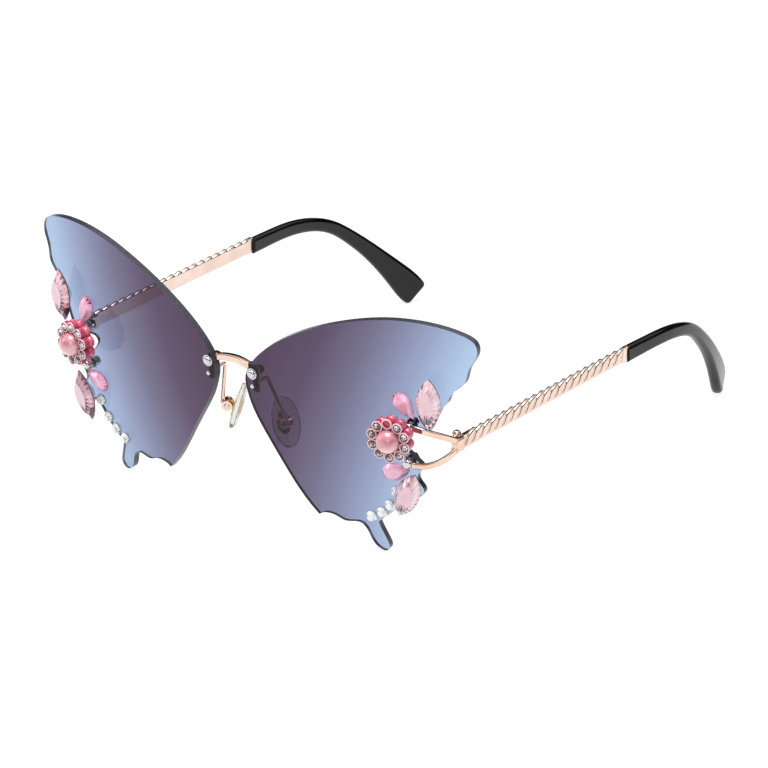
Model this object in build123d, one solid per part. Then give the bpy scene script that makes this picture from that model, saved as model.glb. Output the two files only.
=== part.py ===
from build123d import *
from math import asin, cos, radians, sin, sqrt
import os

os.makedirs("parts", exist_ok=True)

# All lengths are in millimetres. +X is the wearer's left, the glasses look along -Y, +Z is up.
# The left half is modelled and mirrored. While it is built, the origin lies midway between the
# lenses, level with the middle of their front faces.

# General clearances and the roundness of small heads
dome_share = 0.85
cut_over = 1.0
glue_gap = 0.05
seat_gap = 0.1
running_gap = 0.05
swing_gap = 0.12

# Lenses: spherical rimless plates, wrapped round the face and tilted in at the bottom
lens_width = 69.6
lens_height = 70.4
lens_thickness = 1.85
lens_radius = 232.5
lens_wrap = 8.9
lens_tilt = 4.4
bridge_gap = 10.9
reach_share = 0.489

wing_share = [
    (-0.185, -0.412), (-0.250, -0.338), (-0.330, -0.219), (-0.405, -0.102), (-0.463, 0.000),
    (-0.483, 0.060), (-0.489, 0.107), (-0.468, 0.161), (-0.405, 0.236), (-0.250, 0.345),
    (-0.066, 0.425), (0.158, 0.479), (0.338, 0.482), (0.453, 0.460), (0.503, 0.430),
    (0.510, 0.400), (0.501, 0.372), (0.480, 0.335), (0.471, 0.301), (0.463, 0.275),
    (0.431, 0.244), (0.404, 0.213), (0.392, 0.182), (0.374, 0.165), (0.362, 0.142),
    (0.349, 0.114), (0.333, 0.077), (0.318, 0.052),
]
notch_share = [
    (0.318, 0.052), (0.300, 0.044), (0.244, 0.045), (0.200, 0.051), (0.175, 0.047),
    (0.164, 0.034), (0.170, 0.016), (0.191, -0.010), (0.227, -0.043), (0.272, -0.083),
]
lower_lobe_share = [
    (0.272, -0.083), (0.284, -0.108), (0.264, -0.138), (0.263, -0.160), (0.286, -0.203),
    (0.282, -0.218), (0.261, -0.236), (0.201, -0.253), (0.164, -0.301), (0.118, -0.349),
    (0.080, -0.381),
]
drip_share = [
    (0.080, -0.381), (0.095, -0.426), (0.111, -0.466), (0.115, -0.491), (0.099, -0.511),
    (0.069, -0.504), (0.043, -0.472), (0.026, -0.430), (0.003, -0.405), (-0.034, -0.406),
    (-0.072, -0.411), (-0.109, -0.398), (-0.149, -0.395), (-0.185, -0.412),
]

# Screws, washers, pins and nuts that hold the metal to the lenses
screw_shank = 1.2
screw_head = 2.4
screw_head_height = 0.8
fork_head = 2.7
washer_width = 3.2
washer_thickness = 0.3
bush_wall = 0.3
pin_shank = 0.8
pin_head = 1.3
pin_head_height = 0.5
nut_width = 2.8
nut_height = 1.5
nut_sides = 6

# Bridge: an arched bar between the lenses, with a plate behind each one
bridge_screw_share = (-0.455, 0.131)
bridge_pin_share = (-0.455, 0.078)
bridge_plate_share = (-0.453, 0.098)
bridge_plate_width = 3.9
bridge_plate_height = 8.6
bridge_plate_thickness = 0.9
bridge_bar_height = 1.9
bridge_bar_depth = 2.0
bridge_bar_arch = 0.7
bridge_bar_drop = 0.35
bridge_bar_gap = 0.15
bridge_neck_share = 0.7

# Nose pads: a bent wire with a pad box at its end, a pad on a pinned insert
arm_wire = 1.1
arm_bend = 1.3
arm_share = (-0.455, 0.083)
arm_standoff = 4.1
pad_pin_out = 10.3
pad_pin_back = 11.6
pad_pin_drop = 17.4
pad_face_share = (-0.83, 0.48, -0.28)
pad_long_share = (0.30, -0.06, -0.95)
pad_length = 14.3
pad_width = 7.9
pad_thickness = 1.7
pad_edge_round = 0.7
pad_shift_back = 0.9
pad_shift_down = 0.5
box_radius = 1.5
box_width = 3.0
lug_thickness = 1.1
lug_radius = 0.8
pad_pin = 0.9
pad_pin_head = 1.5
pad_pin_head_height = 0.3
insert_length = 6.4
insert_width = 3.8
insert_thickness = 0.7

# Forks: each temple's end piece splits into two arms that lie on the lens
fork_upper_share = (0.241, 0.067)
fork_lower_share = (0.231, -0.088)
fork_band_height = 1.7
fork_band_thickness = 1.15
fork_eye = 2.9
fork_round_share = 0.3
upper_arm_share = [(0.25, 0.02, 0.03), (0.63, 0.19, 0.20), (0.85, 0.50, 0.46), (0.957, 0.78, 0.73)]
lower_arm_share = [(0.22, 0.03, -0.06), (0.58, 0.22, 0.08), (0.80, 0.47, 0.36), (0.93, 0.73, 0.68)]
block_height = 3.7
block_length = 3.0
block_thickness = 1.5
block_round = 0.4

# Hinges: two knuckles on the fork, one on the temple, a screw as the pin
hinge_past_eye = 7.65
hinge_behind_eye = 10.3
hinge_rise = 0.25
hinge_height = 4.1
knuckle_radius = 1.2
hinge_leaf = 0.7
hinge_leaf_length = 5.0
hinge_pin = 0.9
hinge_head = 2.1
hinge_head_height = 0.7
butt_gap = 0.4

# Temples: a flat strip with a rope pressed into its outer face, a black sleeve at the end
temple_drop = 1.05
temple_height = 4.15
temple_thickness = 0.9
temple_length = 74.6
rope_start = 1.5
rope_turns = 21
rope_radius = 1.3
rope_slant = 52.0
rope_relief = 0.5
rope_height = 4.7
collar_length = 2.6

# Temple sleeves: they bend down behind the ear, curve in and widen to a blunt end
sleeve_reach = 63.5
sleeve_line_share = [
    (0.000, 0.000), (0.105, 0.000), (0.210, -0.003), (0.313, -0.017), (0.413, -0.050),
    (0.505, -0.107), (0.590, -0.198), (0.668, -0.312), (0.742, -0.434), (0.812, -0.565),
    (0.878, -0.700), (0.941, -0.842), (0.982, -0.933),
]
sleeve_straight = 12.0
sleeve_curve = 118.0
sleeve_end_height = 8.8
sleeve_height_share = [
    0.530, 0.512, 0.493, 0.474, 0.452, 0.446, 0.460, 0.500, 0.565, 0.670, 0.820, 0.965, 0.880,
]
sleeve_start_thickness = 2.6
sleeve_end_thickness = 3.3
sleeve_round_share = 0.42
sleeve_end_round = 1.1
core_thickness = 0.7
core_height = 1.6
core_root = 5.0
core_count = 8

# Flower on each lens: a petal layer on a post, a ring of ten stone cups and a pearl
flower_share = (0.197, 0.045)
petal_count = 10
petal_turn = 21.0
petal_lift = 3.85
petal_layer = 1.9
petal_radius = 1.6
petal_circle = 4.6
post_radius = 1.3
post_share = (0.180, 0.100)
ring_layer = 0.8
cup_radius = 1.53
cup_height = 0.9
stone_radius = 1.05
stone_height = 1.1
stone_proud = 0.45
empty_cup = 2
pearl_radius = 3.25
pearl_gap = 0.1
pearl_lift = 0.9

# Glass stones glued to the lenses, each with its turn on the left and on the right lens
marquise_length = 14.6
marquise_width = 7.0
marquise_height = 4.6
upper_marquise_share = (0.333, 0.185)
upper_marquise_turns = (89.0, 80.0)
lower_marquise_share = (0.232, -0.210)
lower_marquise_turns = (67.0, 76.0)
drop_length = 8.4
drop_width = 5.2
drop_height = 1.7
upper_drop_share = (0.222, 0.148)
upper_drop_turns = (-50.0, -75.0)
lower_drop_share = (0.178, -0.136)
lower_drop_turns = (15.0, 22.0)
clear_radius = 1.65
clear_height = 1.5
clear_share = [(0.056, -0.358), (0.103, -0.330), (0.141, -0.290), (0.173, -0.224)]
clear_sides = 8
drop_taper_share = 0.8
long_stone_sides = 12
# Outline and height shares of a stone's back, girdle and table
pointed_cut_share = [(0.25, 0), (1, 0.52), (1, 0.60), (0.58, 1)]
flat_cut_share = [(0.92, 0), (1, 0.18), (1, 0.32), (0.58, 1)]

# The lens plane: x across the lens, y up it, z out of its front
wrap = radians(lens_wrap)
tilt = radians(lens_tilt)
lens_across = Vector(cos(wrap), sin(wrap), 0)
lens_out = Vector(sin(wrap) * cos(tilt), -cos(wrap) * cos(tilt), -sin(tilt))
lens_x = bridge_gap / 2 + reach_share * lens_width * cos(wrap)
lens_plane = Plane(origin=(lens_x, 0, 0), x_dir=lens_across, z_dir=lens_out)
lens_back = -lens_thickness


def lens_point(share):
    return (share[0] * lens_width, share[1] * lens_height)


# A place over the dome of the front face: z stands square to the glass there
def on_lens(share, lift=0, turn=0):
    across, up = lens_point(share)
    depth = sqrt(lens_radius**2 - across**2 - up**2)
    square = Vector(across, up, depth).normalized()
    along = Vector(cos(radians(turn)), sin(radians(turn)), 0)
    along = along - square * along.dot(square)
    spot = square * (lens_radius + lift) - Vector(0, 0, lens_radius)
    return lens_plane.location * Plane(origin=spot, x_dir=along, z_dir=square).location


def rod(radius, low, high):
    return Pos(0, 0, low) * Cylinder(radius, high - low, align=(Align.CENTER, Align.CENTER, Align.MIN))


def domed_rod(radius, low, high):
    blank = rod(radius, low, high)
    soft = min(radius, high - low) * dome_share
    return fillet(blank.edges().group_by(Axis.Z)[-1], soft)


# A strip lofted through rounded rectangles, one at each point of a line
def strip(points, breadths, heights, round_share):
    before = points[:1] + points[:-1]
    after = points[1:] + points[-1:]
    sections = []
    for n, point in enumerate(points):
        along = after[n] - before[n]
        corner = min(breadths[n], heights[n]) * round_share
        plane = Plane(origin=point, x_dir=Vector(0, 0, 1).cross(along), z_dir=along)
        sections.append(plane * RectangleRounded(breadths[n], heights[n], corner))
    return loft(sections)


# A cut stone: back, girdle and table follow the same outline, its back on z = 0
def gem(outline_points, height, cut_share):
    rings = []
    for size, level in cut_share:
        ring = [(size * x, size * y) for x, y in outline_points]
        rings.append(Pos(0, 0, height * level) * make_face(Polyline(*ring, close=True)))
    return loft(rings, ruled=True)


def round_outline(radius, sides):
    turns = [radians(360 * n / sides) for n in range(sides)]
    return [(radius * cos(t), radius * sin(t)) for t in turns]


# Two arcs that meet in points
def marquise_outline(length, width, sides):
    arc_radius = (length**2 + width**2) / (4 * width)
    reach = asin(length / (2 * arc_radius))
    half = sides // 2
    turns = [reach * (2 * n / half - 1) for n in range(half)]
    upper = [(arc_radius * sin(t), arc_radius * cos(t) - arc_radius + width / 2) for t in turns]
    return upper + [(-x, -y) for x, y in upper]


# An oval drawn to a point at +x
def drop_outline(length, width, sides):
    turns = [radians(360 * n / sides) for n in range(sides)]
    raw = [sin(t) * abs(sin(t / 2)) ** drop_taper_share for t in turns]
    return [(length / 2 * cos(t), width / 2 * r / max(raw)) for t, r in zip(turns, raw)]


# Lens
runs = (wing_share, notch_share, lower_lobe_share, drip_share)
outline = [Spline(*[lens_point(p) for p in run]) for run in runs]
lens_sag = lens_radius - sqrt(lens_radius**2 - lens_width**2 / 2 - lens_height**2 / 2)
lens_blank = extrude(make_face(outline), lens_sag + lens_thickness, both=True)
dome_centre = Pos(0, 0, -lens_radius) * Rot(90, 0, 0)
dome = dome_centre * Sphere(lens_radius) - dome_centre * Sphere(lens_radius - lens_thickness)
lens = lens_plane.location * (lens_blank & dome).solids().sort_by(SortBy.VOLUME)[-1]

bush_radius = screw_shank / 2 + running_gap + bush_wall
hole_radius = bush_radius + running_gap
pin_hole = pin_shank / 2 + running_gap
screw_places = (bridge_screw_share, fork_upper_share, fork_lower_share)
for share in screw_places:
    lens -= on_lens(share) * rod(hole_radius, lens_back - cut_over, cut_over)
lens -= on_lens(bridge_pin_share) * rod(pin_hole, lens_back - cut_over, cut_over)
lens_low = lens.bounding_box().min.Z

# Clear bushes line the screw holes of the lens
screw_hole = screw_shank / 2 + running_gap
bush = rod(bush_radius, lens_back, 0) - rod(screw_hole, lens_back - cut_over, cut_over)
bushes = [on_lens(share) * bush for share in screw_places]

# Bridge: bar, plates, and the pieces that clamp them to the lenses
plate_low = lens_back - seat_gap - bridge_plate_thickness
plate_face = fillet(Rectangle(bridge_plate_width, bridge_plate_height).vertices(), bridge_plate_width / 3)
plate = on_lens(bridge_plate_share, plate_low) * extrude(plate_face, bridge_plate_thickness)
plate_box = plate.bounding_box()
bar_top = on_lens(bridge_screw_share).position.Z + bridge_bar_height + bridge_bar_drop
bar_low = bar_top - bridge_bar_height
bar_end = bridge_gap / 2 + bridge_bar_gap
bar_back = plate_box.max.Y
upper_arc = ThreePointArc((-bar_end, bar_top), (0, bar_top + bridge_bar_arch), (bar_end, bar_top))
lower_arc = ThreePointArc((-bar_end, bar_low), (0, bar_low + bridge_bar_arch), (bar_end, bar_low))
bar_sides = [Line(upper_arc @ 0, lower_arc @ 0), Line(upper_arc @ 1, lower_arc @ 1)]
bar = extrude(Plane.XZ * make_face([upper_arc, lower_arc, *bar_sides]), bridge_bar_depth)
bar = fillet(bar.edges().filter_by(GeomType.CIRCLE), bridge_bar_height / 5)
bar = Pos(0, bar_back, 0) * bar
neck_out = plate_box.center().X
neck_front = on_lens(bridge_screw_share, lens_back).position.Y + seat_gap
neck_depth = on_lens(bridge_screw_share, plate_low).position.Y - glue_gap - neck_front
neck_height = bridge_bar_height * bridge_neck_share
neck = Pos(neck_out / 2, neck_front + neck_depth / 2, bar_low + neck_height / 2) * Box(
    neck_out, neck_depth, neck_height)
screw_cut = on_lens(bridge_screw_share) * rod(screw_hole, plate_low - cut_over, lens_back)
pin_end = plate_low + bridge_plate_thickness / 2
pin_cut = on_lens(bridge_pin_share) * rod(pin_hole, pin_end, lens_back)
bridge_half = plate + neck - screw_cut - pin_cut
bridge = bar + bridge_half + mirror(bridge_half, about=Plane.YZ)

washer_hole = rod(screw_hole, -cut_over, washer_thickness + cut_over)
washer = rod(washer_width / 2, 0, washer_thickness) - washer_hole
head_top = washer_thickness + screw_head_height
screw_end = plate_low - nut_height - washer_thickness
bridge_screw = domed_rod(screw_head / 2, washer_thickness, head_top) + rod(
    screw_shank / 2, screw_end, washer_thickness)
bridge_pin = domed_rod(pin_head / 2, 0, pin_head_height) + rod(pin_shank / 2, pin_end, 0)
nut_plan = RegularPolygon(nut_width / 2, nut_sides) - Circle(screw_hole)
nut = extrude(nut_plan, nut_height)

# Nose pads
bridge_screw_spot = on_lens(bridge_screw_share).position
pad_pin_spot = bridge_screw_spot + Vector(0, pad_pin_back, -pad_pin_drop)
pad_pin_spot = Vector(pad_pin_out, pad_pin_spot.Y, pad_pin_spot.Z)
pad_face = Vector(*pad_face_share).normalized()
pad_up = -Vector(*pad_long_share).normalized()
pad_plane = Plane(origin=pad_pin_spot, x_dir=pad_up.cross(pad_face), z_dir=pad_face)
pad_place = pad_plane.location

arm_root = on_lens(arm_share, plate_low)
arm_knee = (arm_root * Pos(0, 0, -arm_standoff)).position
arm_foot = (pad_place * Pos(0, 0, -box_radius)).position
arm_path = FilletPolyline(arm_root.position, arm_knee, arm_foot, radius=arm_bend)
arm_section = Plane(origin=arm_path @ 0, z_dir=arm_path % 0) * Circle(arm_wire / 2)
pad_wire = sweep(arm_section, path=arm_path)
slot_width = lug_thickness + 2 * running_gap
slot_low = -(lug_radius + running_gap)
slot_depth = 2 * box_radius
box_side = Rot(0, 90, 0) * Cylinder(box_radius, box_width)
slot = Pos(0, 0, slot_low + slot_depth / 2) * Box(slot_width, 2 * slot_depth, slot_depth)
pin_bore = Rot(0, 90, 0) * Cylinder(pad_pin / 2 + running_gap, box_width + cut_over)
pad_arm = pad_wire + pad_place * box_side - pad_place * slot - pad_place * pin_bore
pad_pin_shank = Rot(0, 90, 0) * Cylinder(pad_pin / 2, box_width)
pad_pin_cap = Pos(box_width / 2, 0, 0) * Rot(0, 90, 0) * domed_rod(pad_pin_head / 2, 0, pad_pin_head_height)
pad_screw = pad_place * (pad_pin_shank + pad_pin_cap)

insert_low = box_radius + swing_gap
insert_plan = Ellipse(insert_width / 2, insert_length / 2)
insert_plate = Pos(0, 0, insert_low) * extrude(insert_plan, insert_thickness)
lug_body = Rot(0, 90, 0) * Cylinder(lug_radius, lug_thickness)
lug_neck = Pos(0, 0, insert_low / 2) * Box(lug_thickness, 2 * lug_radius, insert_low)
pad_insert = pad_place * (insert_plate + lug_body + lug_neck - pin_bore)
pad_low = insert_low + insert_thickness / 2
pad_plan = Ellipse(pad_width / 2, pad_length / 2)
pad_shape = extrude(pad_plan, pad_thickness)
pad_shape = fillet(pad_shape.edges(), pad_edge_round)
pad_shape = Pos(-pad_shift_back, -pad_shift_down, pad_low) * pad_shape
nose_pad = pad_place * (pad_shape - insert_plate)

# Hinge position and the inner face of block and temple
eye_spot = on_lens(fork_upper_share).position
hinge_out = eye_spot.X + hinge_past_eye
hinge_back = eye_spot.Y + hinge_behind_eye
hinge_mid = hinge_rise - temple_drop
hinge_top = hinge_mid + hinge_height / 2
inner_face = hinge_out + knuckle_radius + swing_gap
block_end = hinge_back - butt_gap / 2
temple_front = hinge_back + butt_gap / 2

# Fork: two eyes, two arms and the block at the hinge, in one casting
eye_lift = fork_band_thickness / 2
block_mid = Vector(inner_face + block_thickness / 2, block_end - block_length / 2, -temple_drop)
block = Pos(block_mid) * Box(block_thickness, block_length, block_height)
block = fillet(block.edges().filter_by(Axis.Y), block_round)


def fork_arm(eye_share, line_share, rise):
    start = on_lens(eye_share, eye_lift).position
    entry = block_mid + Vector(0, -block_length / 4, rise)
    span = entry - start
    line = [start]
    for x, y, z in line_share:
        line.append(start + Vector(x * span.X, y * span.Y, z * span.Z))
    line.append(entry)
    breadths = [fork_band_thickness] * len(line)
    heights = [fork_band_height] * len(line)
    return strip(line, breadths, heights, fork_round_share)


arm_rise = (block_height - fork_band_height) / 2
upper_arm = fork_arm(fork_upper_share, upper_arm_share, arm_rise)
lower_arm = fork_arm(fork_lower_share, lower_arm_share, -arm_rise)
fork = block + upper_arm + lower_arm
for share in (fork_upper_share, fork_lower_share):
    fork += on_lens(share) * rod(fork_eye / 2, 0, fork_band_thickness)
head_seat = rod(fork_head / 2 + seat_gap, fork_band_thickness, fork_band_thickness + cut_over)
for share in (fork_upper_share, fork_lower_share):
    fork -= on_lens(share) * rod(screw_hole, -cut_over, fork_band_thickness + cut_over)
    fork -= on_lens(share) * head_seat

fork_cap_top = fork_band_thickness + screw_head_height
washer_low = lens_back - glue_gap - washer_thickness
fork_screw_end = washer_low - nut_height - washer_thickness
fork_screw = domed_rod(fork_head / 2, fork_band_thickness, fork_cap_top) + rod(
    screw_shank / 2, fork_screw_end, fork_band_thickness)

# Hinge: both leaves lie on the inner faces, their knuckles share one screw
knuckle_height = (hinge_height - 2 * swing_gap) / 3
leaf_mid = inner_face - hinge_leaf / 2
leaf_clear = knuckle_radius + swing_gap
hinge_place = Pos(hinge_out, hinge_back, 0)
pin_clear = hinge_pin / 2 + running_gap


def knuckle(low, toward):
    barrel = rod(knuckle_radius, low, low + knuckle_height)
    web_out = inner_face - hinge_out
    web = Pos(web_out - hinge_leaf / 2, toward * leaf_clear / 2, low + knuckle_height / 2) * Box(
        hinge_leaf, leaf_clear, knuckle_height)
    return hinge_place * (barrel + web)


front_leaf_length = block_length - leaf_clear + butt_gap / 2
front_leaf = Pos(leaf_mid, hinge_back - leaf_clear - front_leaf_length / 2, -temple_drop) * Box(
    hinge_leaf, front_leaf_length, block_height)
rear_leaf = Pos(leaf_mid, hinge_back + leaf_clear + hinge_leaf_length / 2, -temple_drop) * Box(
    hinge_leaf, hinge_leaf_length, block_height)
hinge_low = hinge_top - hinge_height
knuckle_step = knuckle_height + swing_gap
hinge_front = front_leaf + knuckle(hinge_low, -1) + knuckle(hinge_low + 2 * knuckle_step, -1)
hinge_rear = rear_leaf + knuckle(hinge_low + knuckle_step, 1)
hinge_bore = hinge_place * rod(pin_clear, hinge_low - cut_over, hinge_top + cut_over)
hinge_front = hinge_front - hinge_bore
hinge_rear = hinge_rear - hinge_bore
hinge_cap = domed_rod(hinge_head / 2, hinge_top, hinge_top + hinge_head_height)
hinge_screw = hinge_place * (rod(hinge_pin / 2, hinge_low, hinge_top) + hinge_cap)

# Temple: strip, pressed rope and the core that runs into the sleeve
temple_mid = inner_face + temple_thickness / 2
temple_end = temple_front + temple_length
temple_strip = Pos(temple_mid, temple_front + temple_length / 2, -temple_drop) * Box(
    temple_thickness, temple_length, temple_height)
rope_face = inner_face + temple_thickness + rope_relief
strand_axis = rope_face - rope_radius
strand_length = (rope_height - 2 * rope_radius) / sin(radians(rope_slant))
strand = Cylinder(rope_radius, strand_length)
for end in (-1, 1):
    strand += Pos(0, 0, end * strand_length / 2) * Sphere(rope_radius)
strand = Rot(-(90 - rope_slant), 0, 0) * strand
rope_first = temple_front + rope_start + rope_radius
rope_pitch = (temple_length - rope_start - collar_length - 2 * rope_radius) / (rope_turns - 1)
strands = [Pos(strand_axis, rope_first + n * rope_pitch, -temple_drop) * strand for n in range(rope_turns)]
temple = temple_strip.fuse(*strands)
inner_block = Pos(inner_face - rope_radius, temple_front + temple_length / 2, -temple_drop) * Box(
    2 * rope_radius, temple_length + cut_over, 2 * rope_height)
temple = temple - inner_block

sleeve_front = temple_end + glue_gap
sleeve_drop = -temple_drop - lens_low


def sleeve_point(share):
    back = share[0] * sleeve_reach
    bent = max(0, back - sleeve_straight)
    inward = sleeve_curve - sqrt(sleeve_curve**2 - bent**2)
    return Vector(temple_mid - inward, sleeve_front + back, -temple_drop + share[1] * sleeve_drop)


sleeve_line = [sleeve_point(share) for share in sleeve_line_share]
sleeve_heights = [share * sleeve_end_height for share in sleeve_height_share]
thickness_step = (sleeve_end_thickness - sleeve_start_thickness) / (len(sleeve_line) - 1)
sleeve_breadths = [sleeve_start_thickness + n * thickness_step for n in range(len(sleeve_line))]
sleeve = strip(sleeve_line, sleeve_breadths, sleeve_heights, sleeve_round_share)
sleeve_tip = sleeve.faces().sort_by_distance(sleeve_line[-1])[0]
sleeve = fillet(sleeve_tip.edges(), sleeve_end_round)


def core_strip(extra):
    root = Vector(temple_mid, temple_end - core_root, -temple_drop)
    line = [root] + sleeve_line[:core_count]
    breadths = [core_thickness + extra] * len(line)
    heights = [core_height + extra] * len(line)
    return strip(line, breadths, heights, fork_round_share)


temple = temple + core_strip(0)
sleeve = sleeve - core_strip(2 * running_gap)

# Flower: petals on a post, the ring with its cups, stones and pearl
flower = on_lens(flower_share)
petal_top = petal_lift + petal_layer
petals = rod(petal_circle, petal_lift, petal_top)
petal = domed_rod(petal_radius, petal_lift, petal_top)
for place in PolarLocations(petal_circle, petal_count, petal_turn):
    petals += place * petal
petals = flower * petals
post = on_lens(post_share) * rod(post_radius, glue_gap, petal_lift + petal_layer / 2) - petals

ring_top = petal_top + ring_layer
cup_top = ring_top + cup_height
cup_circle = pearl_radius + pearl_gap + cup_radius
cup_places = PolarLocations(cup_circle, petal_count, petal_turn).locations
stone_low = cup_top + stone_proud - stone_height
ring = rod(cup_circle, petal_top, ring_top)
for place in cup_places:
    ring += place * rod(cup_radius, petal_top, cup_top)
for place in cup_places:
    ring -= place * rod(stone_radius + glue_gap, stone_low, cup_top + cut_over)
ring = flower * ring
cup_stone = gem(round_outline(stone_radius, clear_sides), stone_height, flat_cut_share)
small_stones = [flower * place * Pos(0, 0, stone_low) * cup_stone for place in cup_places]
pearl_cut = rod(pearl_radius + cut_over, -pearl_lift, pearl_radius + cut_over)
pearl = flower * Pos(0, 0, ring_top + pearl_lift) * (Sphere(pearl_radius) & pearl_cut)

# Glass stones
marquise_line = marquise_outline(marquise_length, marquise_width, long_stone_sides)
marquise = gem(marquise_line, marquise_height, pointed_cut_share)
drop = gem(drop_outline(drop_length, drop_width, long_stone_sides), drop_height, flat_cut_share)
clear_stone = gem(round_outline(clear_radius, clear_sides), clear_height, flat_cut_share)
clear_stones = [on_lens(share, glue_gap) * clear_stone for share in clear_share]
turned = {
    "marquise_upper": (marquise, upper_marquise_share, upper_marquise_turns),
    "marquise_lower": (marquise, lower_marquise_share, lower_marquise_turns),
    "drop_upper": (drop, upper_drop_share, upper_drop_turns),
    "drop_lower": (drop, lower_drop_share, lower_drop_turns),
}

# Pieces with a node on each side
sided = {
    "lens": [lens],
    "pad_arm": [pad_arm],
    "pad_screw": [pad_screw],
    "pad_insert": [pad_insert],
    "nose_pad": [nose_pad],
    "fork": [fork],
    "hinge_front": [hinge_front],
    "hinge_rear": [hinge_rear],
    "hinge_screw": [hinge_screw],
    "temple": [temple],
    "temple_sleeve": [sleeve],
    "flower_petals": [petals],
    "flower_ring": [ring],
    "flower_stones": small_stones,
    "flower_pearl": [pearl],
    "clear_stones": clear_stones,
}
# Small pieces that both sides share one node for
fork_places = [on_lens(share) for share in (fork_upper_share, fork_lower_share)]
paired = {
    "bridge_screws": [on_lens(bridge_screw_share) * bridge_screw],
    "bridge_washers": [on_lens(bridge_screw_share) * washer],
    "bridge_pins": [on_lens(bridge_pin_share) * bridge_pin],
    "bridge_nuts": [on_lens(bridge_screw_share, plate_low - nut_height) * nut],
    "lens_bushes": bushes,
    "fork_screws": [place * fork_screw for place in fork_places],
    "fork_washers": [place * Pos(0, 0, washer_low) * washer for place in fork_places],
    "fork_nuts": [place * Pos(0, 0, washer_low - nut_height) * nut for place in fork_places],
    "flower_posts": [post],
}


def mirrored(shapes):
    return [mirror(shape, about=Plane.YZ) for shape in shapes]


nodes = {"bridge": [bridge]}
for name, shapes in sided.items():
    nodes[name + "_left"] = shapes
    nodes[name + "_right"] = mirrored(shapes)
for name, (stone, share, turns) in turned.items():
    nodes[name + "_left"] = [on_lens(share, glue_gap, turns[0]) * stone]
    nodes[name + "_right"] = mirrored([on_lens(share, glue_gap, turns[1]) * stone])
for name, shapes in paired.items():
    nodes[name] = shapes + mirrored(shapes)
# One cup of the left flower has lost its stone
nodes["flower_stones_left"] = small_stones[:empty_cup] + small_stones[empty_cup + 1:]

# The origin moves to the middle of the footprint, on the surface that the glasses stand on
whole = Compound([solid for shapes in nodes.values() for shape in shapes for solid in shape.solids()])
whole_box = whole.bounding_box()
stand = Pos(0, -whole_box.center().Y, -whole_box.min.Z)
for name, shapes in nodes.items():
    solids = [stand * solid for shape in shapes for solid in shape.solids()]
    export_step(solids[0] if len(solids) == 1 else Compound(solids), "parts/" + name + ".step")

hinge_spot = (stand * Pos(hinge_out, hinge_back, hinge_mid)).position
pin_spot = (stand * Pos(pad_pin_spot)).position
face_spot = (stand * pad_place * Pos(-pad_shift_back, -pad_shift_down, pad_low + pad_thickness)).position
print("whole size", tuple(whole_box.size))
print("lowest points of lens and sleeve", lens_low, sleeve.bounding_box().min.Z)
print("left hinge axis passes", tuple(hinge_spot))
print("left pad pin at", tuple(pin_spot), "along", tuple(pad_plane.x_dir))
print("left pad face at", tuple(face_spot), "facing", tuple(pad_plane.z_dir))
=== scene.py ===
import math

import bmesh
import bpy
from mathutils import Matrix, Vector


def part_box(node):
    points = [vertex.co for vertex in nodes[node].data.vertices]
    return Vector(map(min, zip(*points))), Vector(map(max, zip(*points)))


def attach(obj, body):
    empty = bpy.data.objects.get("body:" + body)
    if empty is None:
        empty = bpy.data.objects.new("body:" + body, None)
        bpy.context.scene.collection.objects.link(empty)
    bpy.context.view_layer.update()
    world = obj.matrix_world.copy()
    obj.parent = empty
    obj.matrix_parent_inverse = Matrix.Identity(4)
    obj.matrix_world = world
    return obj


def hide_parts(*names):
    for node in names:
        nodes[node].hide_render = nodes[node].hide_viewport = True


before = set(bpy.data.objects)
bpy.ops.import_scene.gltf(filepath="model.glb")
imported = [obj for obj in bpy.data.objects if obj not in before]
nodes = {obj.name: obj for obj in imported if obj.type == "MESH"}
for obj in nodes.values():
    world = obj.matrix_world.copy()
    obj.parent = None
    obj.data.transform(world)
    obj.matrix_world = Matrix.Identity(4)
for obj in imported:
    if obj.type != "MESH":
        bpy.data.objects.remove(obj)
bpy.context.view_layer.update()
mm = 0.001
print("frame loaded:", len(nodes), "nodes")

# the +X lens in mm and degrees: its sheet, how it stands, and where its middle is, measured from x = 0,
# from the hinge screw and from the floor
lensPlace = {
    "width": 69.6, "height": 70.4, "radius": 232.5, "wrap": 8.9, "tilt": 4.4,
    "outward": 39.075, "hingeBehind": 13.182, "upward": 35.735,
}


# colours are written as sRGB and used as linear values
def linearColour(hexText):
    channels = [int(hexText[i:i + 2], 16) / 255 for i in (1, 3, 5)]
    return [c / 12.92 if c <= 0.04045 else ((c + 0.055) / 1.055) ** 2.4 for c in channels] + [1.0]


def addNode(tree, kind, values=None, links=None, **settings):
    node = tree.nodes.new(kind)
    for key, value in settings.items():
        setattr(node, key, value)
    for socket, value in (values or {}).items():
        node.inputs[socket].default_value = value
    for socket, source in (links or {}).items():
        tree.links.new(source, node.inputs[socket])
    return node


def fillRamp(node, stops):
    elements = node.color_ramp.elements
    while len(elements) < len(stops):
        elements.new(0.5)
    for element, (place, hexText) in zip(elements, stops):
        element.position = place
        element.color = linearColour(hexText)


def newMaterial(name, hexText="#FFFFFF", **sockets):
    material = bpy.data.materials.new(name)
    material.use_nodes = True
    tree = material.node_tree
    tree.nodes.clear()
    shader = addNode(tree, "ShaderNodeBsdfPrincipled", {"Base Color": linearColour(hexText)})
    for socket, value in sockets.items():
        shader.inputs[socket.replace("_", " ")].default_value = value
    addNode(tree, "ShaderNodeOutputMaterial", links={"Surface": shader.outputs[0]})
    return material, tree, shader


def objectPlace(tree):
    return addNode(tree, "ShaderNodeTexCoord").outputs["Object"]


# a pattern by its real grain in mm: the noise scale is grains per metre
def grainNoise(tree, grainMm, detail=3.0):
    return addNode(tree, "ShaderNodeTexNoise", {"Scale": 1 / (grainMm * mm), "Detail": detail},
                   {"Vector": objectPlace(tree)})


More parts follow.
